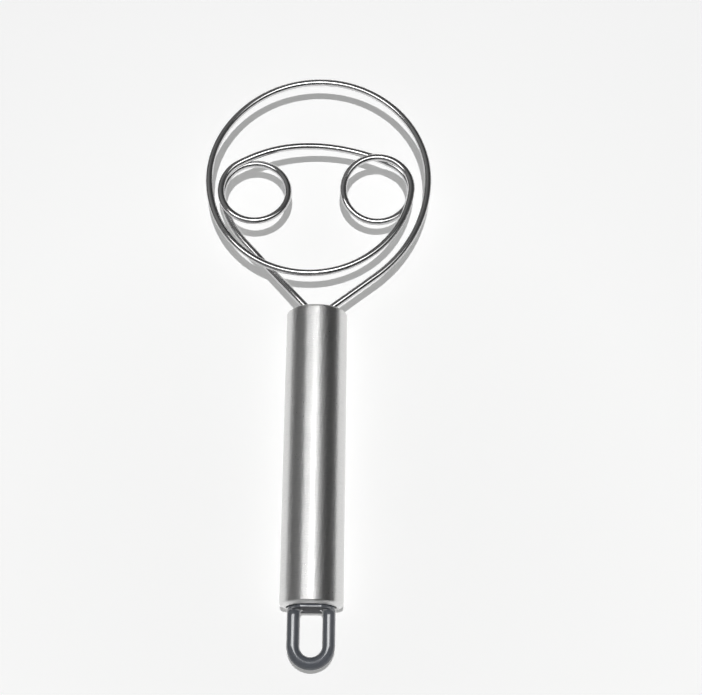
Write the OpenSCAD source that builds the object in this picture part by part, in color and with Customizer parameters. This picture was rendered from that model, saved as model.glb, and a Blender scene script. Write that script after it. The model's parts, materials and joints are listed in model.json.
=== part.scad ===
// Dough whisk: one bent steel wire in a round steel handle with a hanging loop.
// Millimetres. The whisk lies flat: +Y runs from the hanging loop to the head,
// +X to the right seen from above, +Z up. The origin is under the middle of the
// whole whisk, on the surface it lies on.

/* [Handle] */
// Outside diameter of the handle tube
handle_d = 25; // [24.5:0.5:30]
// Length of the handle tube, end to end
handle_len = 122; // [100:1:150]
// Wall thickness of the tube
tube_wall = 0.8; // [0.6:0.1:1.2]
// Radius of the rounded shoulder at the head end
front_round = 2.2; // [1.6:0.2:2.8]
// Radius of the rounded shoulder at the loop end
tail_round = 2.6; // [2.2:0.2:2.8]
// Thickness of the end cap that the wire comes out of
cap_t = 1.4; // [1:0.2:2]

/* [Wire] */
// Diameter of the wire
wire_d = 3; // [2.6:0.1:3]
// Distance between the two wire tails inside the handle
tail_gap = 8; // [7:0.5:9]
// Length of wire held inside the handle
tail_len = 34; // [24:1:44]
// Bend radius where each leg leaves the cap
kink_r = 3; // [2.6:0.1:3.2]
// Height of the left leg's bend above the cap
kink_left = 2.2; // [2:0.1:2.6]
// Height of the right leg's bend above the cap
kink_right = 1.2; // [1.2:0.1:1.6]

/* [Head] */
// Radius of the big outer ring, to the middle of the wire
ring_r = 46.9; // [46.5:0.1:47.5]
// Distance from the cap to the middle of the outer ring
ring_y = 62.2; // [61.5:0.1:63]
// Radius of the lower arc that closes the ring
low_r = 43.3; // [43:0.1:43.6]
// Direction in which the lower arc flows into the ring, in degrees
low_join = 200; // [198:1:202]
// Radius of each small loop as the wire enters it
eye_in_r = 14.2; // [13.9:0.1:14.4]
// Radius of each small loop as the wire leaves it
eye_out_r = 14.5; // [14.3:0.1:14.8]
// Direction in which the right loop flows into the lower arc, in degrees
eye_low_join = -7.5; // [-9:0.5:-7]
// Radius of the shallow arc between the two small loops
bridge_r = 67; // [66:0.5:68.5]
// Direction in which the shallow arc enters the right loop, in degrees
bridge_right = 61; // [60:1:62]
// Direction in which the shallow arc leaves the left loop, in degrees
bridge_left = 120.5; // [120:0.5:121.5]
// Bend radius of the left leg below its small loop
leg_left_r = 46; // [42:1:50]
// Direction in which the left leg flows into its loop, in degrees
leg_left_join = 194; // [192:1:196]
// Bend radius of the right leg below the ring
leg_right_r = 58; // [55:1:62]
// Direction in which the ring flows into the right leg, in degrees
leg_right_join = -2; // [-4:1:0]

/* [Hanging loop] */
// How far the loop stands out of the handle
loop_len = 23.9; // [20.9:0.5:27.9]
// Outside width of the loop
loop_w = 18.8; // [17.6:0.2:18.8]
// Width of each leg of the loop
loop_leg = 5; // [4.2:0.2:5.4]
// Thickness of the loop
loop_t = 4.6; // [4:0.1:5.4]
// Rounding of the loop's edges
loop_edge = 1.9; // [1:0.1:1.9]
// How far the face of the plug stands out of the tube
plug_proud = 0.5; // [0.3:0.1:0.8]
// Depth of the plug that holds the loop in the tube
plug_len = 24; // [20:1:30]

/* [Hidden] */

// Number of sides of a turned surface
$fn = 96;
// Sides of the wire's section
wire_sides = 12;

handle_r = handle_d / 2;
bore_r = handle_r - tube_wall;
wire_r = wire_d / 2;
front_open_r = handle_r - front_round - 0.6;
tail_open_r = handle_r - tail_round - 0.1;
// Clearance of the wire in the cap, all round
cap_clear = 0.15;
// Half the height difference of two passes of wire that lie on each other
stack = 1.6;
// How far the ring's middle lies to the left of the handle's axis
ring_x = -0.5;

head_top = handle_len + ring_y + ring_r + wire_r;
// Shift from the handle's own axes to the frame of the part
shift = [-ring_x, -(head_top - loop_len) / 2, handle_r];

// Plan of the head, seen from above, measured from the middle of the cap.
// Every bend turns clockwise. Each bend touches the next one from inside, so
// its centre lies on the line through the touching point.
function dir(a) = [cos(a), sin(a)];
ring_c = [ring_x, ring_y];
low_c = ring_c + (ring_r - low_r) * dir(low_join);
eye_r_out_c = low_c + (low_r - eye_out_r) * dir(eye_low_join);
eye_r_in_c = eye_r_out_c + (eye_out_r - eye_in_r) * dir(-90);
bridge_c = eye_r_in_c - (bridge_r - eye_in_r) * dir(bridge_right);
eye_l_out_c = bridge_c + (bridge_r - eye_out_r) * dir(bridge_left);
eye_l_in_c = eye_l_out_c + (eye_out_r - eye_in_r) * dir(-90);
leg_l_c = eye_l_in_c - (leg_left_r - eye_in_r) * dir(leg_left_join);
leg_r_c = ring_c - (leg_right_r - ring_r) * dir(leg_right_join);

// Direction of the point where a line from p touches a circle
function touch(c, r, p, side) =
    atan2(p[1] - c[1], p[0] - c[0]) + side * acos(r / norm(p - c));

kink_l = [-tail_gap / 2, kink_left];
kink_rt = [tail_gap / 2, kink_right];
leg_l_a = touch(leg_l_c, leg_left_r, kink_l, -1) + 360;
leg_r_a = touch(leg_r_c, leg_right_r, kink_rt, 1);
leg_l_p = leg_l_c + leg_left_r * dir(leg_l_a);
leg_r_p = leg_r_c + leg_right_r * dir(leg_r_a);

// Angle by which each leg leans away from the handle's axis
lean_l = atan2(kink_l[0] - leg_l_p[0], leg_l_p[1] - kink_l[1]);
lean_r = atan2(leg_r_p[0] - kink_rt[0], leg_r_p[1] - kink_rt[1]);
cut_l = kink_r * tan(lean_l / 2);
cut_r = kink_r * tan(lean_r / 2);

// Smooth step from 0 at t = a to 1 at t = b
function ease(t, a, b) = let (u = min(1, max(0, (t - a) / (b - a)))) u * u * (3 - 2 * u);

// Points of a bend from angle a0 to a1, n of them, without the last
function bend(c, r, a0, a1, n, z) = [for (i = [0 : n - 1])
    let (t = i / n, a = a0 + (a1 - a0) * t) [c[0] + r * cos(a), c[1] + r * sin(a), z[0] + (z[1] - z[0]) * ease(t, z[2], z[3])]];
// Points of a straight run from p to q
function run(p, q, n, z) = [for (i = [0 : n - 1])
    let (t = i / n) [p[0] + (q[0] - p[0]) * t, p[1] + (q[1] - p[1]) * t, z[0] + (z[1] - z[0]) * ease(t, z[2], z[3])]];

// The wire's route from the end of its left tail to the end of its right tail.
// The last values of each row are the height at its start and end, and the
// stretch of the row over which the height changes.
route = concat(
    run([kink_l[0], -tail_len], [kink_l[0], kink_l[1] - cut_l], 6, [0, 0, 0, 1]),
    bend([kink_l[0] - kink_r, kink_l[1] - cut_l], kink_r, 0, lean_l, 6, [0, 0, 0, 1]),
    run(kink_l + cut_l * [-sin(lean_l), cos(lean_l)], leg_l_p, 12, [0, -1.85, 0, 0.72]),
    bend(leg_l_c, leg_left_r, leg_l_a, leg_left_join, 14, [-1.85, -stack, 0, 1]),
    bend(eye_l_in_c, eye_in_r, leg_left_join, -90, 46, [-stack, stack, 0.42, 1]),
    bend(eye_l_out_c, eye_out_r, -90, bridge_left - 360, 26, [stack, stack, 0, 1]),
    bend(bridge_c, bridge_r, bridge_left, bridge_right, 28, [stack, -stack, 0.18, 0.8]),
    bend(eye_r_in_c, eye_in_r, bridge_right, -90, 26, [-stack, -stack, 0, 1]),
    bend(eye_r_out_c, eye_out_r, -90, eye_low_join - 360, 46, [-stack, stack, 0, 0.6]),
    bend(low_c, low_r, eye_low_join, low_join - 360, 40, [stack, 1.4, 0, 1]),
    bend(ring_c, ring_r, low_join, leg_right_join, 56, [1.4, 0, 0.06, 0.35]),
    bend(leg_r_c, leg_right_r, leg_right_join, leg_r_a, 16, [0, 0, 0, 1]),
    run(leg_r_p, kink_rt + cut_r * [sin(lean_r), cos(lean_r)], 8, [0, 0, 0, 1]),
    bend([kink_rt[0] + kink_r, kink_rt[1] - cut_r], kink_r, 180 - lean_r, 180, 6, [0, 0, 0, 1]),
    run([kink_rt[0], kink_rt[1] - cut_r], [kink_rt[0], -tail_len], 6, [0, 0, 0, 1]),
    [[kink_rt[0], -tail_len, 0]]
);

// A round bar of radius r along the points p
module sweep(p, r, sides) {
    n = len(p);
    rings = [for (i = [0 : n - 1])
        let (a = p[max(0, i - 1)], b = p[min(n - 1, i + 1)],
             t = (b - a) / norm(b - a),
             s = cross(t, [0, 0, 1]), s1 = s / norm(s), u = cross(s1, t))
        for (k = [0 : sides - 1])
            let (w = 360 * k / sides) p[i] + r * (cos(w) * s1 + sin(w) * u)];
    sidewalls = [for (i = [0 : n - 2]) for (k = [0 : sides - 1])
        let (k1 = (k + 1) % sides) [i * sides + k, i * sides + k1, (i + 1) * sides + k1, (i + 1) * sides + k]];
    polyhedron(rings, concat(sidewalls,
        [[for (k = [sides - 1 : -1 : 0]) k]],
        [[for (k = [0 : sides - 1]) (n - 1) * sides + k]]), convexity = 12);
}

// Turns a profile drawn as [radius, distance along the handle] about the handle's axis
module along_handle() {
    translate(shift) rotate([-90, 0, 0]) children();
}

// The round shoulder at an end: a circle at the outside corner of the profile
module shoulder_profile(rad, wall, y, up) {
    intersection() {
        translate([handle_r - rad, y]) difference() {
            circle(r = rad, $fn = 64);
            circle(r = rad - wall, $fn = 64);
        }
        translate([handle_r - rad, up > 0 ? y : y - rad]) square([rad, rad]);
    }
}

// The drawn tube: straight wall, a rounded shoulder at each end, and a short
// turned-in lip that holds the cap and the plug
module handle_tube() {
    color("silver") along_handle() rotate_extrude() {
        translate([bore_r, tail_round]) square([tube_wall, handle_len - tail_round - front_round]);
        shoulder_profile(tail_round, tube_wall, tail_round, -1);
        shoulder_profile(front_round, tube_wall, handle_len - front_round, 1);
        translate([tail_open_r, 0]) square([handle_r - tail_round - tail_open_r, tube_wall]);
        translate([front_open_r, handle_len - tube_wall]) square([handle_r - front_round - front_open_r, tube_wall]);
    }
}

// The steel end cap: a disc behind the lip with a raised centre flush with it,
// drilled for the two legs of the wire
module front_cap() {
    color("silver") difference() {
        along_handle() union() {
            translate([0, 0, handle_len - tube_wall - cap_t]) cylinder(h = cap_t, r = bore_r - front_round + tube_wall);
            translate([0, 0, handle_len - tube_wall - 0.1]) cylinder(h = tube_wall + 0.1, r = front_open_r);
        }
        for (s = [-1, 1])
            along_handle() translate([s * tail_gap / 2, 0, handle_len - 6]) cylinder(h = 8, r = wire_r + cap_clear, $fn = 48);
    }
}

// The solid core that grips the two wire tails inside the handle
module wire_holder() {
    top = handle_len - tube_wall - cap_t - 1.4;
    color("dimgray") difference() {
        along_handle() translate([0, 0, top - tail_len - 4]) union() {
            cylinder(h = tail_len + 4 - 1.5, r = bore_r - 0.05);
            translate([0, 0, tail_len + 4 - 1.5]) cylinder(h = 1.5, r1 = bore_r - 0.05, r2 = bore_r - 1.5);
        }
        for (s = [-1, 1])
            along_handle() translate([s * tail_gap / 2, 0, handle_len - tail_len - 0.4]) cylinder(h = tail_len + 4, r = wire_r + 0.02, $fn = 48);
        // grooves that let the core settle in the tube
        for (k = [1 : 3])
            along_handle() translate([0, 0, top - tail_len - 4 + k * 9]) difference() {
                cylinder(h = 1.6, r = bore_r + 1);
                translate([0, 0, -0.1]) cylinder(h = 1.8, r = bore_r - 0.9);
            }
    }
}

// The head, legs and tails: one continuous wire
module whisk_wire() {
    color("gainsboro") translate(shift + [0, handle_len, 0]) sweep(route, wire_r, wire_sides);
}

// Rounded section of the loop, lying across the handle
module loop_section() {
    for (sx = [-1, 1]) for (sy = [-1, 1])
        translate([sx * (loop_leg / 2 - loop_edge), sy * (loop_t / 2 - loop_edge)]) circle(r = loop_edge, $fn = 32);
    square([loop_leg, loop_t - 2 * loop_edge], center = true);
    square([loop_leg - 2 * loop_edge, loop_t], center = true);
}

// The moulded hanging loop with the plug that holds it in the tube
module hang_loop() {
    mid = (loop_w - loop_leg) / 2;
    leg_y = loop_len - loop_w / 2;
    color([0.13, 0.14, 0.15]) {
        union() {
            // plug face with a chamfered edge, standing out of the turned-in lip
            along_handle() translate([0, 0, -plug_proud]) cylinder(h = plug_proud, r1 = tail_open_r - plug_proud, r2 = tail_open_r - 0.02);
            along_handle() cylinder(h = tube_wall + 0.1, r = tail_open_r - 0.02);
            along_handle() translate([0, 0, tube_wall]) cylinder(h = 2, r = handle_r - tail_round);
            along_handle() translate([0, 0, tube_wall + 2]) cylinder(h = plug_len - 2, r = handle_r - tail_round - 1.2);
            for (k = [0 : 2])
                along_handle() translate([0, 0, 8 + k * (plug_len - 12) / 2]) cylinder(h = 2, r = bore_r - 0.05);
            for (s = [-1, 1])
                translate(shift + [s * mid, 0, 0]) rotate([90, 0, 0]) translate([0, 0, -1]) linear_extrude(leg_y + 1) loop_section();
            translate(shift + [0, -leg_y, 0]) rotate([0, 0, 180]) rotate_extrude(angle = 180) translate([mid, 0]) loop_section();
        }
    }
}

handle_tube();
front_cap();
wire_holder();
whisk_wire();
hang_loop();
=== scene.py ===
import bpy, bmesh, json, math
from mathutils import Vector, Matrix, noise

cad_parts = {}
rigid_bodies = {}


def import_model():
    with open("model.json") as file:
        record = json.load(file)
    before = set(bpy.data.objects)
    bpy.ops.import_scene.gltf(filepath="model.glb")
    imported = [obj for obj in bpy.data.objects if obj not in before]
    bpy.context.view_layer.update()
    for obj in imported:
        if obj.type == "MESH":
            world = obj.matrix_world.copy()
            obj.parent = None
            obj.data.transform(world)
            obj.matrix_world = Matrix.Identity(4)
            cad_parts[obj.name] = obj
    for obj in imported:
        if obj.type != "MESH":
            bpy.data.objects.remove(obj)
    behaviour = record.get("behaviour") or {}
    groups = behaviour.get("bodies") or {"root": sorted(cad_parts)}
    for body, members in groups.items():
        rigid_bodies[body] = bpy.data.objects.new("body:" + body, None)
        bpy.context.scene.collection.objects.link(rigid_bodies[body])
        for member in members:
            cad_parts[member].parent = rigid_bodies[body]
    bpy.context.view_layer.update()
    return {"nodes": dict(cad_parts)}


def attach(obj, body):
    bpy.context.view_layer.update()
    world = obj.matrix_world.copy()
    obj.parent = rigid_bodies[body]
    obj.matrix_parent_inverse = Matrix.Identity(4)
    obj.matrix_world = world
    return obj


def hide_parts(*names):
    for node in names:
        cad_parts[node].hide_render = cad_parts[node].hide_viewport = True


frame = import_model()
MM = 0.001

# ---------------------------------------------------------------- dimensions
HANDLE_R, HANDLE_LEN = 12.5, 122.0
RING_X = -0.5
HEAD_TOP = HANDLE_LEN + 62.2 + 46.9 + 1.5
LOOP_LEN = 23.9
SHIFT = Vector((-RING_X, -(HEAD_TOP - LOOP_LEN) / 2.0, HANDLE_R))   # handle's own axes -> part frame, mm
WIRE_R = 1.5


def place(x, y, z):
    """Handle's own millimetres to metres in the part frame."""
    return Vector((x + SHIFT.x, y + SHIFT.y, z + SHIFT.z)) * MM


# ---------------------------------------------------------------- camera
cam_data = bpy.data.cameras.new("camera")
cam = bpy.data.objects.new("camera", cam_data)
bpy.context.scene.collection.objects.link(cam)
right = Vector((0.999899, 0.010616, -0.009441)).normalized()
fwd = Vector((-0.012506, 0.342429, -0.939461)).normalized()
up = right.cross(fwd).normalized()
right = fwd.cross(up).normalized()
rot = Matrix((right, up, -fwd)).transposed()
cam.matrix_world = Matrix.Translation(place(21.746, -100.035, 568.375)) @ rot.to_4x4()
cam_data.sensor_fit = 'HORIZONTAL'
cam_data.sensor_width = 36.0
cam_data.lens = 36.0 * 1471.15 / 702.0
cam_data.clip_start = 0.01
cam_data.clip_end = 50.0
bpy.context.scene.camera = cam


# ---------------------------------------------------------------- node helpers
def new_mat(name):
    m = bpy.data.materials.new(name)
    m.use_nodes = True
    nt = m.node_tree
    nt.nodes.clear()
    out = nt.nodes.new("ShaderNodeOutputMaterial")
    p = nt.nodes.new("ShaderNodeBsdfPrincipled")
    nt.links.new(p.outputs[0], out.inputs[0])
    return m, nt, p


def node(nt, kind, **kw):
    n = nt.nodes.new(kind)
    for k, v in kw.items():
        setattr(n, k, v)
    return n


def mapping(nt, scale, loc=(0, 0, 0), rot=(0, 0, 0)):
    tc = node(nt, "ShaderNodeTexCoord")
    mp = node(nt, "ShaderNodeMapping")
    mp.inputs["Scale"].default_value = scale
    mp.inputs["Location"].default_value = loc
    mp.inputs["Rotation"].default_value = rot
    nt.links.new(tc.outputs["Object"], mp.inputs["Vector"])
    return mp.outputs["Vector"]


def noise_tex(nt, vec, scale, detail=3.0, rough=0.55, distort=0.0):
    n = node(nt, "ShaderNodeTexNoise")
    n.inputs["Scale"].default_value = scale
    n.inputs["Detail"].default_value = detail
    n.inputs["Roughness"].default_value = rough
    n.inputs["Distortion"].default_value = distort
    nt.links.new(vec, n.inputs["Vector"])
    return n.outputs["Fac"]


def ramp(nt, fac, stops):
    r = node(nt, "ShaderNodeValToRGB")
    e = r.color_ramp.elements
    while len(e) < len(stops):
        e.new(0.5)
    for el, (pos, col) in zip(e, stops):
        el.position = pos
        el.color = (col[0], col[1], col[2], 1.0) if not isinstance(col, (int, float)) else (col, col, col, 1.0)
    nt.links.new(fac, r.inputs["Fac"])
    return r.outputs["Color"]


def maprange(nt, fac, a, b, c, d):
    m = node(nt, "ShaderNodeMapRange")
    m.inputs["From Min"].default_value = a
    m.inputs["From Max"].default_value = b
    m.inputs["To Min"].default_value = c
    m.inputs["To Max"].default_value = d
    nt.links.new(fac, m.inputs["Value"])
    return m.outputs["Result"]


def bump(nt, height, dist, strength, normal=None):
    b = node(nt, "ShaderNodeBump")
    b.inputs["Strength"].default_value = strength
    b.inputs["Distance"].default_value = dist
    nt.links.new(height, b.inputs["Height"])
    if normal is not None:
        nt.links.new(normal, b.inputs["Normal"])
    return b.outputs["Normal"]


def cylinder_coords(nt):
    """Round the handle's axis: (arc length, distance along, radius) in metres, for an object whose Y axis is the handle's."""
    tc = node(nt, "ShaderNodeTexCoord")
    sep = node(nt, "ShaderNodeSeparateXYZ")
    nt.links.new(tc.outputs["Object"], sep.inputs[0])
    at = node(nt, "ShaderNodeMath", operation='ARCTAN2')
    nt.links.new(sep.outputs["X"], at.inputs[0])
    nt.links.new(sep.outputs["Z"], at.inputs[1])
    arc = node(nt, "ShaderNodeMath", operation='MULTIPLY')
    nt.links.new(at.outputs[0], arc.inputs[0])
    arc.inputs[1].default_value = HANDLE_R * MM
    com = node(nt, "ShaderNodeCombineXYZ")
    nt.links.new(arc.outputs[0], com.inputs["X"])
    nt.links.new(sep.outputs["Y"], com.inputs["Y"])
    return com.outputs[0]


def scaled(nt, vec, scale):
    mp = node(nt, "ShaderNodeMapping")
    mp.inputs["Scale"].default_value = scale
    nt.links.new(vec, mp.inputs["Vector"])
    return mp.outputs["Vector"]


# ---------------------------------------------------------------- materials
def steel_satin(name):
    m, nt, p = new_mat(name)
    p.inputs["Metallic"].default_value = 1.0
    p.inputs["Anisotropic"].default_value = 1.0
    p.inputs["Anisotropic Rotation"].default_value = 0.25
    cyl = cylinder_coords(nt)
    # the satin finish: fine hoops round the tube, short streaks along them, and grain
    hoops = noise_tex(nt, scaled(nt, cyl, (30, 3400, 30)), 1.0, 2.0, 0.6)
    streak = noise_tex(nt, scaled(nt, cyl, (260, 3000, 260)), 1.0, 3.0, 0.65)
    speck = noise_tex(nt, scaled(nt, cyl, (1700, 1500, 1700)), 1.0, 2.0, 0.6)
    cloud = noise_tex(nt, scaled(nt, cyl, (60, 40, 60)), 1.0, 3.0, 0.5)
    col = ramp(nt, streak, [(0.30, (0.70, 0.70, 0.698)), (0.52, (0.755, 0.752, 0.745)), (0.75, (0.81, 0.805, 0.795))])
    nt.links.new(col, p.inputs["Base Color"])
    rsum = node(nt, "ShaderNodeMath", operation='ADD')
    nt.links.new(maprange(nt, speck, 0.3, 0.7, -0.02, 0.04), rsum.inputs[0])
    nt.links.new(maprange(nt, cloud, 0.3, 0.7, 0.285, 0.315), rsum.inputs[1])
    nt.links.new(rsum.outputs[0], p.inputs["Roughness"])
    n1 = bump(nt, hoops, 0.00001, 0.3)
    n2 = bump(nt, streak, 0.00001, 0.3, n1)
    n3 = bump(nt, maprange(nt, speck, 0.42, 0.60, 0.0, 1.0), 0.000018, 1.0, n2)
    # a few coarser grains, which glint beside the highlight
    grain = noise_tex(nt, scaled(nt, cyl, (1500, 1300, 1500)), 1.0, 0.0, 0.5)
    n3 = bump(nt, maprange(nt, grain, 0.58, 0.76, 0.0, 1.0), 0.000026, 1.0, n3)
    nt.links.new(n3, p.inputs["Normal"])
    tg = node(nt, "ShaderNodeTangent", direction_type='RADIAL', axis='Y')
    nt.links.new(tg.outputs[0], p.inputs["Tangent"])
    return m


def steel_wire(name):
    m, nt, p = new_mat(name)
    p.inputs["Metallic"].default_value = 1.0
    v = mapping(nt, (1, 1, 1))
    cloud = noise_tex(nt, v, 90.0, 3.0, 0.5)
    fine = noise_tex(nt, v, 2600.0, 2.0, 0.6)
    nt.links.new(ramp(nt, cloud, [(0.3, (0.59, 0.587, 0.592)), (0.7, (0.66, 0.656, 0.658))]), p.inputs["Base Color"])
    nt.links.new(maprange(nt, cloud, 0.3, 0.7, 0.09, 0.15), p.inputs["Roughness"])
    nt.links.new(bump(nt, fine, 0.00001, 0.1), p.inputs["Normal"])
    return m


def plastic_gloss(name):
    m, nt, p = new_mat(name)
    p.inputs["Coat Roughness"].default_value = 0.03
    p.inputs["Coat IOR"].default_value = 1.58
    v = mapping(nt, (1, 1, 1))
    cloud = noise_tex(nt, v, 120.0, 3.0, 0.5)
    fine = noise_tex(nt, v, 1500.0, 3.0, 0.6)
    scr = noise_tex(nt, scaled(nt, v, (300, 4200, 300)), 1.0, 2.0, 0.7)
    nt.links.new(ramp(nt, cloud, [(0.3, (0.096, 0.104, 0.118)), (0.7, (0.116, 0.124, 0.140))]), p.inputs["Base Color"])
    # polished legs; the round end is dulled by use
    sep = node(nt, "ShaderNodeSeparateXYZ")
    nt.links.new(v, sep.inputs[0])
    worn = maprange(nt, sep.outputs["Y"], -0.0155, -0.0200, 0.0, 1.0)
    rsum = node(nt, "ShaderNodeMath", operation='ADD')
    nt.links.new(maprange(nt, fine, 0.3, 0.75, 0.055, 0.105), rsum.inputs[0])
    nt.links.new(maprange(nt, worn, 0.0, 1.0, 0.0, 0.30), rsum.inputs[1])
    nt.links.new(rsum.outputs[0], p.inputs["Roughness"])
    nt.links.new(maprange(nt, worn, 0.0, 1.0, 0.92, 0.05), p.inputs["Coat Weight"])
    n1 = bump(nt, fine, 0.00001, 0.12)
    nt.links.new(bump(nt, scr, 0.00001, 0.08, n1), p.inputs["Normal"])
    return m


def plastic_matte(name):
    """The plug's moulded end face: black plastic, not polished, and darker than the loop's."""
    m, nt, p = new_mat(name)
    p.inputs["Specular IOR Level"].default_value = 0.12
    v = mapping(nt, (1, 1, 1))
    cloud = noise_tex(nt, v, 160.0, 3.0, 0.5)
    fine = noise_tex(nt, v, 2200.0, 3.0, 0.6)
    nt.links.new(ramp(nt, cloud, [(0.3, (0.060, 0.063, 0.070)), (0.7, (0.076, 0.079, 0.088))]), p.inputs["Base Color"])
    nt.links.new(maprange(nt, fine, 0.3, 0.75, 0.5, 0.68), p.inputs["Roughness"])
    nt.links.new(bump(nt, fine, 0.00002, 0.3), p.inputs["Normal"])
    return m


M_TUBE = steel_satin("tube_satin_steel")
M_CAP = steel_satin("cap_satin_steel")
M_WIRE = steel_wire("polished_wire")
M_LOOP = plastic_gloss("gloss_black_plastic")
M_PLUG = plastic_matte("moulded_black_plastic")
M_CORE = plastic_gloss("core_plastic")


# ---------------------------------------------------------------- mesh helpers
def add_object(name, verts, faces, mat, loc=None, smooth=True):
    me = bpy.data.meshes.new(name)
    me.from_pydata([tuple(v) for v in verts], [], faces)
    me.update()
    ob = bpy.data.objects.new(name, me)
    bpy.context.scene.collection.objects.link(ob)
    if loc is not None:
        ob.location = loc
    me.materials.append(mat)
    bm = bmesh.new()
    bm.from_mesh(me)
    bmesh.ops.recalc_face_normals(bm, faces=bm.faces)
    bm.to_mesh(me)
    bm.free()
    for pl in me.polygons:
        pl.use_smooth = smooth
    return ob


def lathe(name, profile, mat, sides=192):
    """Closed profile of (radius, y) in mm, turned about the handle's axis. The object's origin is on that axis."""
    verts, faces = [], []
    n = len(profile)
    for k in range(sides):
        a = 2 * math.pi * k / sides
        for r, y in profile:
            verts.append((r * math.sin(a) * MM, y * MM, r * math.cos(a) * MM))
    for k in range(sides):
        k1 = (k + 1) % sides
        for i in range(n):
            j = (i + 1) % n
            faces.append((k * n + i, k * n + j, k1 * n + j, k1 * n + i))
    return add_object(name, verts, faces, mat, loc=place(0, 0, 0))


def sweep(name, pts, radius, sides, mat, origin=Vector((0, 0, 0))):
    n = len(pts)
    verts, faces = [], []
    for i, p in enumerate(pts):
        t = (pts[min(n - 1, i + 1)] - pts[max(0, i - 1)]).normalized()
        s = t.cross(Vector((0, 0, 1))).normalized()
        u = s.cross(t).normalized()
        for k in range(sides):
            w = 2 * math.pi * (k + 0.5) / sides
            verts.append(p + (s * math.cos(w) + u * math.sin(w)) * radius)
    for i in range(n - 1):
        for k in range(sides):
            k1 = (k + 1) % sides
            faces.append((i * sides + k, i * sides + k1, (i + 1) * sides + k1, (i + 1) * sides + k))
    faces.append(tuple(range(sides - 1, -1, -1)))
    faces.append(tuple((n - 1) * sides + k for k in range(sides)))
    return add_object(name, verts, faces, mat)


# ---------------------------------------------------------------- wire route
def wire_route(step):
    """The bends of the wire, as in the CAD: x, y from the middle of the cap, z from the handle's axis, mm."""
    ring_r, ring_y, low_r, low_join = 46.9, 62.2, 43.3, 200.0
    ein, eout, elj = 14.2, 14.5, -7.5
    br, bright, bleft = 67.0, 61.0, 120.5
    llr, llj, lrr, lrj = 46.0, 194.0, 58.0, -2.0
    kr, st, tail, gap = 3.0, 1.6, 34.0, 8.0
    kl, kt = (-gap / 2, 2.2), (gap / 2, 1.2)

    def D(a):
        return Vector((math.cos(math.radians(a)), math.sin(math.radians(a))))

    rc = Vector((RING_X, ring_y))
    lc = rc + (ring_r - low_r) * D(low_join)
    ero = lc + (low_r - eout) * D(elj)
    eri = ero + (eout - ein) * D(-90)
    bc = eri - (br - ein) * D(bright)
    elo = bc + (br - eout) * D(bleft)
    eli = elo + (eout - ein) * D(-90)
    llc = eli - (llr - ein) * D(llj)
    lrc = rc - (lrr - ring_r) * D(lrj)

    def touch(c, r, p, side):
        d = Vector(p) - c
        return math.degrees(math.atan2(d.y, d.x)) + side * math.degrees(math.acos(r / d.length))

    la = touch(llc, llr, kl, -1) + 360
    ra = touch(lrc, lrr, kt, 1)
    lp, rp = llc + llr * D(la), lrc + lrr * D(ra)
    leanl = math.degrees(math.atan2(kl[0] - lp.x, lp.y - kl[1]))
    leanr = math.degrees(math.atan2(rp.x - kt[0], rp.y - kt[1]))
    cl, cr = kr * math.tan(math.radians(leanl / 2)), kr * math.tan(math.radians(leanr / 2))

    def ease(t, a, b):
        u = min(1.0, max(0.0, (t - a) / (b - a)))
        return u * u * (3 - 2 * u)

    out = []

    def bend(c, r, a0, a1, z):
        n = max(4, int(abs(math.radians(a1 - a0)) * r / step))
        for i in range(n):
            t = i / n
            p = c + r * D(a0 + (a1 - a0) * t)
            out.append(Vector((p.x, p.y, z[0] + (z[1] - z[0]) * ease(t, z[2], z[3]))))

    def run(p, q, z):
        p, q = Vector(p), Vector(q)
        n = max(4, int((q - p).length / step))
        for i in range(n):
            t = i / n
            w = p + (q - p) * t
            out.append(Vector((w.x, w.y, z[0] + (z[1] - z[0]) * ease(t, z[2], z[3]))))

    def dv(a):
        return Vector((math.sin(math.radians(a)), math.cos(math.radians(a))))

    run((kl[0], -tail), (kl[0], kl[1] - cl), (0, 0, 0, 1))
    bend(Vector((kl[0] - kr, kl[1] - cl)), kr, 0, leanl, (0, 0, 0, 1))
    run(Vector(kl) + cl * dv(-leanl), lp, (0, -1.85, 0, 0.72))
    bend(llc, llr, la, llj, (-1.85, -st, 0, 1))
    bend(eli, ein, llj, -90, (-st, st, 0.42, 1))
    bend(elo, eout, -90, bleft - 360, (st, st, 0, 1))
    bend(bc, br, bleft, bright, (st, -st, 0.18, 0.8))
    bend(eri, ein, bright, -90, (-st, -st, 0, 1))
    bend(ero, eout, -90, elj - 360, (-st, st, 0, 0.6))
    bend(lc, low_r, elj, low_join - 360, (st, 1.4, 0, 1))
    bend(rc, ring_r, low_join, lrj, (1.4, 0, 0.06, 0.35))
    bend(lrc, lrr, lrj, ra, (0, 0, 0, 1))
    run(rp, Vector(kt) + cr * dv(leanr), (0, 0, 0, 1))
    bend(Vector((kt[0] + kr, kt[1] - cr)), kr, 180 - leanr, 180, (0, 0, 0, 1))
    run((kt[0], kt[1] - cr), (kt[0], -tail), (0, 0, 0, 1))
    out.append(Vector((kt[0], -tail, 0)))
    return out


pts = [place(p.x, p.y + HANDLE_LEN, p.z) for p in wire_route(0.4)]
wire = sweep("bent_wire", pts, (WIRE_R - 0.015) * MM, 28, M_WIRE)
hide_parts("whisk_wire")
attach(wire, "root")


# ---------------------------------------------------------------- handle tube
def arc(cx, cy, r, a0, a1, n):
    return [(cx + r * math.cos(math.radians(a0 + (a1 - a0) * i / n)), cy + r * math.sin(math.radians(a0 + (a1 - a0) * i / n))) for i in range(n + 1)]


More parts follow.
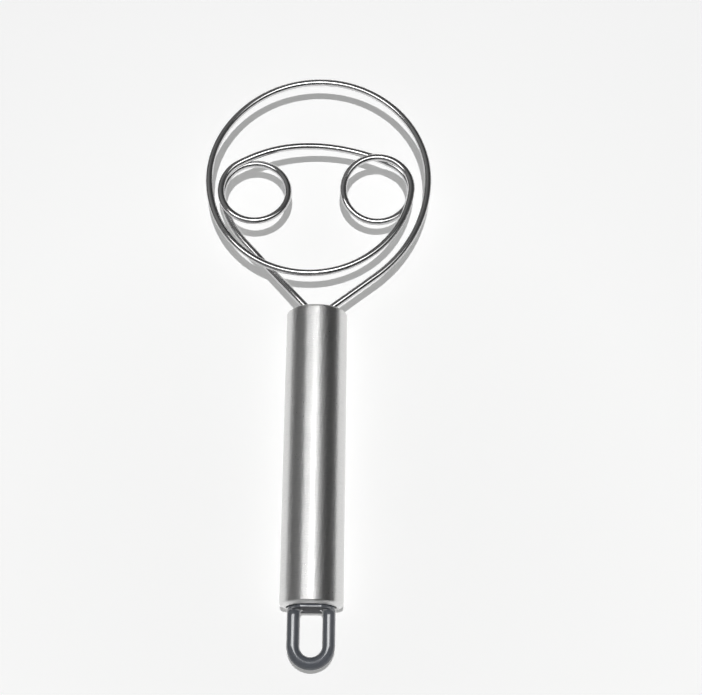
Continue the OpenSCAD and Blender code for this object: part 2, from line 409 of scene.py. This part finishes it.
WALL, TR, FR = 0.8, 2.6, 2.2
TUBE_R = HANDLE_R - 0.013                               # a hair inside the CAD's surface
prof = []
to, fo = TUBE_R - TR - 0.1, TUBE_R - FR - 0.6
prof += [(to, WALL), (to, 0.12)] + arc(to + 0.12, 0.12, 0.12, 180, 270, 4)[1:]
TAIL = 1.4                                              # the tail's shoulder is a little tighter lengthwise
prof += [(x, y * TAIL / TR) for x, y in arc(TUBE_R - TR, TR, TR, -90, 0, 28)]
L0, L1 = TAIL, HANDLE_LEN - 1.5
prof += [(TUBE_R, L0 + (L1 - L0) * i / 60) for i in range(1, 60)]
FRONT = 1.5                                             # and the head end's shoulder too
prof += [(x, HANDLE_LEN - (HANDLE_LEN - y) * FRONT / FR) for x, y in arc(TUBE_R - FR, HANDLE_LEN - FR, FR, 0, 90, 22)]
prof += arc(fo + 0.12, HANDLE_LEN - 0.12, 0.12, 90, 180, 4)
prof += [(fo, HANDLE_LEN - WALL)]
prof += [(x, HANDLE_LEN - WALL - (HANDLE_LEN - WALL - y) * (FRONT - WALL) / (FR - WALL)) for x, y in arc(TUBE_R - FR, HANDLE_LEN - FR, FR - WALL, 90, 0, 10)]
prof += [(x, WALL + (y - WALL) * (TAIL - WALL) / (TR - WALL)) for x, y in arc(TUBE_R - TR, TR, TR - WALL, 0, -90, 12)]
tube = lathe("tube_shell", prof, M_TUBE, 256)
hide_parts("handle_tube")
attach(tube, "root")

# ---------------------------------------------------------------- CAD nodes that stay
for nm, mt in (("front_cap", M_CAP), ("wire_holder", M_CORE)):
    ob = frame["nodes"][nm]
    ob = ob if hasattr(ob, "data") else bpy.data.objects[ob["object"]]
    if len(ob.material_slots) == 0:
        ob.data.materials.append(mt)
    for s in ob.material_slots:
        s.material = mt


# ---------------------------------------------------------------- hanging loop
def loop_path(step):
    """Middle line of the loop's two legs and round end, mm, from one leg's root to the other."""
    mid, leg = (18.8 - 5.0) / 2, LOOP_LEN - 18.8 / 2
    out = []
    n = int((leg + 1.5) / step)
    for i in range(n):
        out.append((Vector((-mid, 1.5 - (leg + 1.5) * i / n, 0)), Vector((0, -1, 0)), 0.0))
    m = int(math.pi * mid / step)
    for i in range(m + 1):
        a = math.pi * i / m
        p = Vector((-mid * math.cos(a), -leg - mid * math.sin(a), 0))
        t = Vector((mid * math.sin(a), -mid * math.cos(a), 0)).normalized()
        out.append((p, t, math.sin(a)))
    for i in range(1, n + 1):
        out.append((Vector((mid, -leg + (leg + 1.5) * i / n, 0)), Vector((0, 1, 0)), 0.0))
    return out


BOSS = 1.0                                              # how far the plug's flat-sided boss stands out of the tube


def root_fillet(d):
    """0 on the plain leg, rising in a quarter round to 1 at the boss; d is the distance from the boss, mm."""
    t = min(1.0, max(0.0, 1.0 - d / 1.8))
    return 1.0 - math.sqrt(max(0.0, 1.0 - t * t))


def loop_mesh():
    verts, faces = [], []
    path = loop_path(0.25)
    S = 40
    for p, t, swell in path:
        side = t.cross(Vector((0, 0, 1))).normalized()      # outward
        grow = root_fillet(-BOSS - p.y)
        w_out, w_in, h = 2.49, 2.49 + 1.4 * grow, 2.29 + 1.7 * grow
        for k in range(S):
            a = 2 * math.pi * k / S
            c, s = math.cos(a), math.sin(a)
            e = 1.1
            cx = math.copysign(abs(c) ** e, c)
            sz = math.copysign(abs(s) ** e, s)
            wx = (w_in if cx < 0 else w_out)
            verts.append(p + side * (cx * wx) + Vector((0, 0, sz * h)))
    n = len(path)
    for i in range(n - 1):
        for k in range(S):
            k1 = (k + 1) % S
            faces.append((i * S + k, i * S + k1, (i + 1) * S + k1, (i + 1) * S + k))
    faces.append(tuple(range(S - 1, -1, -1)))
    faces.append(tuple((n - 1) * S + k for k in range(S)))
    return [v * MM for v in verts], faces


v, f = loop_mesh()
loop = add_object("loop_bow", v, f, M_LOOP, loc=place(0, 0, 0))
PF = to - 0.02                                          # radius of the plug in the tube's mouth
plug_prof = [(0.001, 0.30), (PF - 0.1, 0.30), (PF, 0.40), (PF, 0.78), (HANDLE_R - TR - 0.05, 0.85), (HANDLE_R - TR - 0.05, 2.8), (8.7, 3.0), (8.7, 23.5), (8.0, 24.0), (0.001, 24.0)]


def boss_outline(inset):
    """A circle with a flat above and below, its corners rounded, in (x, z) mm."""
    R, F, C = 8.5 - inset, 7.45 - inset, max(0.15, 0.7 - inset)
    cz = F - C
    cx = math.sqrt((R - C) ** 2 - cz * cz)
    a0 = math.degrees(math.atan2(cz, cx))
    q = [(R * math.cos(math.radians(a0 * i / 14)), R * math.sin(math.radians(a0 * i / 14))) for i in range(15)]
    q += [(cx + C * math.cos(math.radians(a0 + (90 - a0) * i / 8)), cz + C * math.sin(math.radians(a0 + (90 - a0) * i / 8))) for i in range(1, 9)]
    q += [(cx * (1 - i / 12), F) for i in range(1, 13)]
    half = q + [(-x, z) for x, z in q[-2:0:-1]]
    return half + [(-q[0][0], 0.0)] + [(x, -z) for x, z in half[::-1][:-1]]


def boss_mesh(levels):
    verts, faces = [], []
    n = len(boss_outline(0.0))
    for inset, y in levels:
        verts += [Vector((x, y, z)) * MM for x, z in boss_outline(inset)]
    for i in range(len(levels) - 1):
        for k in range(n):
            k1 = (k + 1) % n
            faces.append((i * n + k, i * n + k1, (i + 1) * n + k1, (i + 1) * n + k))
    faces.append(tuple(range(n - 1, -1, -1)))
    m = (len(levels) - 1) * n
    faces.append(tuple(m + k for k in range(n)))
    return verts, faces


v, f = boss_mesh([(0.1, 1.25), (0.0, 1.15), (0.0, 1.1), (0.0, -BOSS + 0.25), (0.0, -BOSS + 0.20), (0.06, -BOSS + 0.06), (0.20, -BOSS)])
boss = add_object("plug_boss", v, f, M_LOOP, loc=place(0, 0, 0))
v, f = boss_mesh([(0.24, -BOSS + 0.1), (0.24, -BOSS - 0.01), (0.28, -BOSS - 0.03)])
face = add_object("plug_face", v, f, M_PLUG, loc=place(0, 0, 0))
for ob in (boss, face):
    for pl in ob.data.polygons:
        pl.use_smooth = len(pl.vertices) == 4
    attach(ob, "root")
plug = lathe("loop_plug", plug_prof, M_PLUG, 128)
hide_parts("hang_loop")
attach(loop, "root")
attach(plug, "root")


# ---------------------------------------------------------------- weld beads at the cap
def bead(x, y, lean, name):
    verts, faces = [], []
    S, T = 40, 12
    for i in range(S):
        a = 2 * math.pi * i / S
        wob = 1.0 + 0.10 * math.sin(3 * a + x) + 0.06 * math.sin(7 * a + 2 * x)
        for j in range(T + 1):
            b = math.pi * j / T / 2
            rr = WIRE_R - 0.1 + 0.62 * wob * (1 - math.sin(b))
            hh = 0.55 * wob * (1 - math.cos(b))
            verts.append(Vector((x + rr * math.cos(a), y + hh - 0.05, rr * math.sin(a))) * MM)
    for i in range(S):
        i1 = (i + 1) % S
        for j in range(T):
            faces.append((i * (T + 1) + j, i1 * (T + 1) + j, i1 * (T + 1) + j + 1, i * (T + 1) + j + 1))
    ob = add_object(name, verts, faces, M_WIRE, loc=place(0, 0, 0))
    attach(ob, "root")
    return ob


bead(-4.0, HANDLE_LEN, 0, "weld_bead_left")
bead(4.0, HANDLE_LEN, 0, "weld_bead_right")

# ---------------------------------------------------------------- floor
bpy.ops.mesh.primitive_plane_add(size=24.0, location=(0, 0, 0))
floor = bpy.context.object
floor.name = "floor"
fm, nt, p = new_mat("floor_white")
v = mapping(nt, (1, 1, 1))
gr = node(nt, "ShaderNodeVectorMath", operation='DISTANCE')
nt.links.new(v, gr.inputs[0])
gr.inputs[1].default_value = (0.0, -0.07, 0.0)
# painted light: the floor glows evenly as a stand-in for the room's ambient fill, and its colour and glow are painted
# a little darker near the handle and far off, lightest in a ring between, as a painted falloff of light
painted_light_falloff = maprange(nt, gr.outputs["Value"], 0.03, 0.30, 0.0, 1.0)
nt.links.new(ramp(nt, painted_light_falloff, [(0.0, (0.760, 0.758, 0.759)), (0.45, (0.790, 0.789, 0.790)), (1.0, (0.762, 0.761, 0.763))]), p.inputs["Base Color"])
nt.links.new(ramp(nt, painted_light_falloff, [(0.0, (0.330, 0.332, 0.328)), (0.45, (0.337, 0.339, 0.335)), (1.0, (0.322, 0.324, 0.322))]), p.inputs["Emission Color"])
p.inputs["Emission Strength"].default_value = 1.0
nt.links.new(maprange(nt, noise_tex(nt, v, 40.0, 3.0), 0.3, 0.7, 0.7, 0.8), p.inputs["Roughness"])
p.inputs["Specular IOR Level"].default_value = 0.0
floor.data.materials.append(fm)

# ---------------------------------------------------------------- lights
scene = bpy.context.scene
scene.view_settings.view_transform = 'Standard'
scene.view_settings.look = 'None'
scene.view_settings.exposure = 0.0
world = bpy.data.worlds.new("studio")
scene.world = world
world.use_nodes = True
nt = world.node_tree
nt.nodes.clear()
out = nt.nodes.new("ShaderNodeOutputWorld")
bg = nt.nodes.new("ShaderNodeBackground")
tc = nt.nodes.new("ShaderNodeTexCoord")
sep = nt.nodes.new("ShaderNodeSeparateXYZ")
nt.links.new(tc.outputs["Generated"], sep.inputs[0])


def slant(axis):
    """Angle of a direction from straight up towards +X or +Y, in degrees."""
    at = node(nt, "ShaderNodeMath", operation='ARCTAN2')
    nt.links.new(sep.outputs[axis], at.inputs[0])
    nt.links.new(sep.outputs["Z"], at.inputs[1])
    dg = node(nt, "ShaderNodeMath", operation='DEGREES')
    nt.links.new(at.outputs[0], dg.inputs[0])
    return dg.outputs[0]


def edge(angle, a, b, lo=0.0, hi=1.0):
    """Soft step from lo at angle a to hi at angle b."""
    mr = node(nt, "ShaderNodeMapRange", interpolation_type='SMOOTHSTEP')
    if a < b:
        vals = (a, b, lo, hi)
    else:
        vals = (b, a, hi, lo)
    for key, val in zip(("From Min", "From Max", "To Min", "To Max"), vals):
        mr.inputs[key].default_value = val
    nt.links.new(angle, mr.inputs["Value"])
    return mr.outputs["Result"]


def times(*vals):
    cur = vals[0]
    for v2 in vals[1:]:
        mm = node(nt, "ShaderNodeMath", operation='MULTIPLY')
        nt.links.new(cur, mm.inputs[0])
        if isinstance(v2, (int, float)):
            mm.inputs[1].default_value = v2
        else:
            nt.links.new(v2, mm.inputs[1])
        cur = mm.outputs[0]
    return cur


def plus(*vals):
    cur = vals[0]
    for v2 in vals[1:]:
        mm = node(nt, "ShaderNodeMath", operation='ADD')
        nt.links.new(cur, mm.inputs[0])
        nt.links.new(v2, mm.inputs[1])
        cur = mm.outputs[0]
    return cur


ax, ay = slant("X"), slant("Y")
# dim walls round the table, darker towards the far side and a little lighter on the left
walls = times(edge(ax, 40, -45, 0.074, 0.235), edge(ax, -90, -52, 0.42, 1.0), edge(ay, 75, 30, 0.30, 1.0))
light = walls
nt.links.new(light, bg.inputs["Strength"])
bg.inputs["Color"].default_value = (1.0, 1.0, 1.0, 1)
bg2 = nt.nodes.new("ShaderNodeBackground")
bg2.inputs["Color"].default_value = (0.90, 0.90, 0.905, 1)
lp = nt.nodes.new("ShaderNodeLightPath")
mx = nt.nodes.new("ShaderNodeMixShader")
nt.links.new(lp.outputs["Is Camera Ray"], mx.inputs[0])
nt.links.new(bg.outputs[0], mx.inputs[1])
nt.links.new(bg2.outputs[0], mx.inputs[2])
nt.links.new(mx.outputs[0], out.inputs[0])

# the light panel overhead: a long soft strip across the handle, with a bright middle and a sharp left end
PANEL_Z, PANEL_Y, PANEL_LIGHT = 560.0, 140.0, 8.3
me = bpy.data.meshes.new("light_panel")
hx, hy = 0.62, 0.105
me.from_pydata([(-hx, -hy, 0), (hx, -hy, 0), (hx, hy, 0), (-hx, hy, 0)], [], [(3, 2, 1, 0)])
panel = bpy.data.objects.new("light_panel", me)
scene.collection.objects.link(panel)
panel.location = place(0.0, PANEL_Y, PANEL_Z)
pm = bpy.data.materials.new("light_panel")
pm.use_nodes = True
nt = pm.node_tree
nt.nodes.clear()
pout = nt.nodes.new("ShaderNodeOutputMaterial")
em = nt.nodes.new("ShaderNodeEmission")
nt.links.new(em.outputs[0], pout.inputs[0])
tc = nt.nodes.new("ShaderNodeTexCoord")
sep = nt.nodes.new("ShaderNodeSeparateXYZ")
nt.links.new(tc.outputs["Object"], sep.inputs[0])
profile = [(-620, 0.0), (-450, 0.02), (-425, 0.08), (-400, 0.28), (-372, 0.56), (-345, 0.74), (-300, 0.76), (-253, 0.70), (-205, 0.54), (-150, 0.48), (-120, 0.60), (-98, 0.88), (-75, 1.0), (45, 1.0), (70, 0.82), (110, 0.62), (150, 0.45), (204, 0.31), (260, 0.21), (343, 0.12), (450, 0.06), (540, 0.03), (620, 0.0)]
across = ramp(nt, maprange(nt, sep.outputs["X"], -0.62, 0.62, 0.0, 1.0), [((x + 620) / 1240.0, val) for x, val in profile])
along = times(edge(sep.outputs["Y"], -0.102, -0.076), edge(sep.outputs["Y"], 0.08, 0.04))
lp = nt.nodes.new("ShaderNodeLightPath")
spill = edge(lp.outputs["Diffuse Depth"], 0.9, 0.1)      # no glow thrown back on the floor by the steel
nt.links.new(times(across, along, spill, PANEL_LIGHT), em.inputs["Strength"])
me.materials.append(pm)
panel.visible_camera = False
panel.visible_diffuse = False
panel.visible_shadow = False

# dark cards at the sides, as used to give shiny metal its dark edges; only the metal sees them
fmat = bpy.data.materials.new("dark_card")
fmat.use_nodes = True
fmat.node_tree.nodes["Principled BSDF"].inputs["Base Color"].default_value = (0.012, 0.012, 0.012, 1)
fmat.node_tree.nodes["Principled BSDF"].inputs["Roughness"].default_value = 0.9
for nm, cx, top in (("dark_card_left", -104.0, 16.0), ("dark_card_right", 250.0, 26.0)):
    me = bpy.data.meshes.new(nm)
    me.from_pydata([(0, -0.40, 0), (0, 0.40, 0), (0, 0.40, top * MM), (0, -0.40, top * MM)], [], [(0, 1, 2, 3)])
    card = bpy.data.objects.new(nm, me)
    scene.collection.objects.link(card)
    card.location = (cx * MM, 0.0, 0.0005)
    me.materials.append(fmat)
    card.visible_camera = False
    card.visible_diffuse = False
    card.visible_shadow = False

sun_data = bpy.data.lights.new("key", 'SUN')
sun_data.energy = 2.35
sun_data.angle = math.radians(0.8)
sun = bpy.data.objects.new("key", sun_data)
bpy.context.scene.collection.objects.link(sun)
d = Vector((0.034, -0.030, 1.0)).normalized()      # towards the light
sun.rotation_euler = d.to_track_quat('Z', 'Y').to_euler()
sun.visible_glossy = False
world.cycles_visibility.diffuse = False

# ---------------------------------------------------------------- final update of the scene
bpy.context.view_layer.update()
